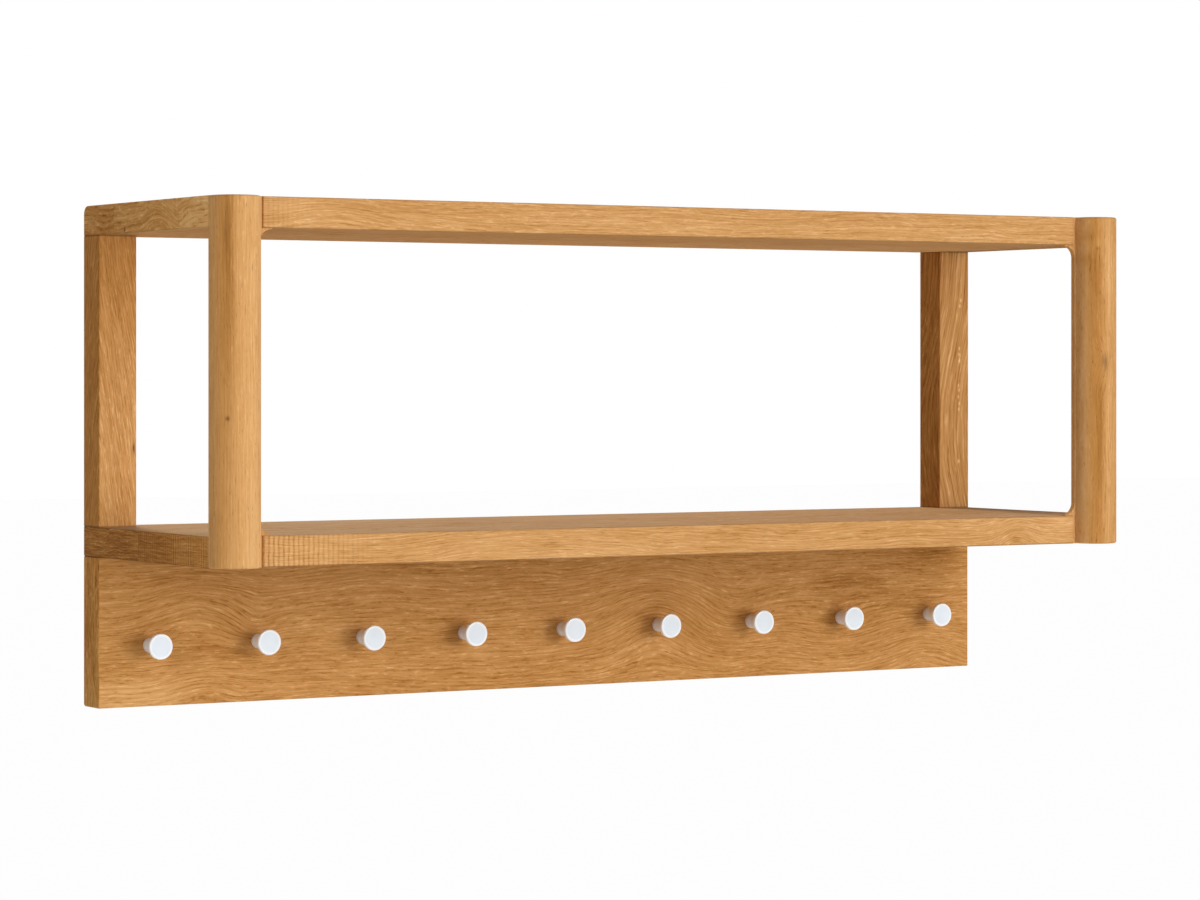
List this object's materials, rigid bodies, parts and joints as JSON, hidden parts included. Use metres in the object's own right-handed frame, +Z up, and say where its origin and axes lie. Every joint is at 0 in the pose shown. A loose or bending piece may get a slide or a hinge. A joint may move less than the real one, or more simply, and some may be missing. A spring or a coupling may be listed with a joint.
{
  "type": "shaker peg rail with shelf",
  "caption": "Wall-hung oak shelf: full-depth boards joined by wall uprights and half-round front posts, over a peg board with white turned flared pegs.",
  "frame": {"origin": "on the back plane, midway between the entry holes of the two keyhole hangers", "axes": "+X to the right as seen from the room, +Y into the wall, +Z up"},
  "size_m": [1, 0.296, 0.466],
  "materials": {
    "oak_boards": "oiled oak, satin",
    "oak_posts": "oiled oak, satin",
    "oak_peg_board": "oiled oak, satin",
    "white_pegs": "white paint, satin",
    "beech_dowels": "raw",
    "zinc_hardware": "zinc plated"
  },
  "bodies": {
    "root": {"top_board": "oak_boards", "lower_shelf": "oak_boards", "rear_upright_left": "oak_posts", "rear_upright_right": "oak_posts", "front_post_left": "oak_posts", "front_post_right": "oak_posts", "peg_board": "oak_peg_board", "peg_1": "white_pegs", "peg_2": "white_pegs", "peg_3": "white_pegs", "peg_4": "white_pegs", "peg_5": "white_pegs", "peg_6": "white_pegs", "peg_7": "white_pegs", "peg_8": "white_pegs", "peg_9": "white_pegs", "peg_screws": "zinc_hardware", "upright_dowels": "beech_dowels", "peg_board_dowels": "beech_dowels", "post_dowels": "beech_dowels", "hanger_plate_left": "zinc_hardware", "hanger_plate_right": "zinc_hardware", "hanger_screws": "zinc_hardware"}
  },
  "joints": []
}
